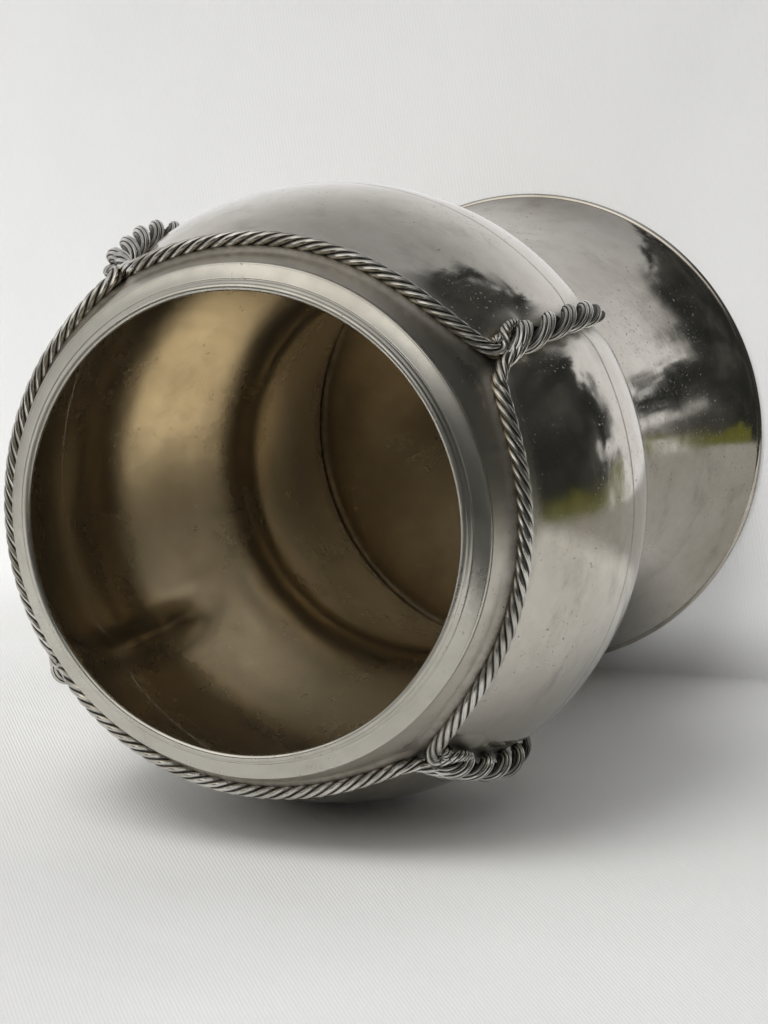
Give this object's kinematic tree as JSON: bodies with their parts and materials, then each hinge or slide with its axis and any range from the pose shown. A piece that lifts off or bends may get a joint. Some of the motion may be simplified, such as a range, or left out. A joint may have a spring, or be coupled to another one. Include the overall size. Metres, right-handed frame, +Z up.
{
  "type": "champagne bucket",
  "caption": "Waisted silver champagne bucket with a round belly, sloping mouth collar, flaring foot and a cast rope tied round its neck, its knotted ends hanging down the belly.",
  "frame": {"origin": "centre of the ring the foot stands on, at floor level", "axes": "+Z up along the bucket's axis to its mouth; +X and +Y are level, each midway between two knots"},
  "size_m": [0.206, 0.206, 0.292],
  "materials": {
    "body_silver": "polished",
    "rim_silver": "satin",
    "bottom_silver": "satin",
    "rope_silver": "satin"
  },
  "bodies": {
    "root": {"lip_wire": "rim_silver", "rim_collar": "rim_silver", "shoulder": "body_silver", "belly_bowl": "body_silver", "foot_flare": "body_silver", "bottom_plate": "bottom_silver", "foot_wire": "body_silver", "rope_1": "rope_silver", "rope_2": "rope_silver", "rope_3": "rope_silver", "rope_4": "rope_silver", "knot_1": "rope_silver", "knot_2": "rope_silver", "knot_3": "rope_silver", "knot_4": "rope_silver", "tail_1_left_end": "rope_silver", "tail_2_left_end": "rope_silver", "tail_3_left_end": "rope_silver", "tail_4_left_end": "rope_silver", "tail_1_right_end": "rope_silver", "tail_2_right_end": "rope_silver", "tail_3_right_end": "rope_silver", "tail_4_right_end": "rope_silver"}
  },
  "joints": []
}
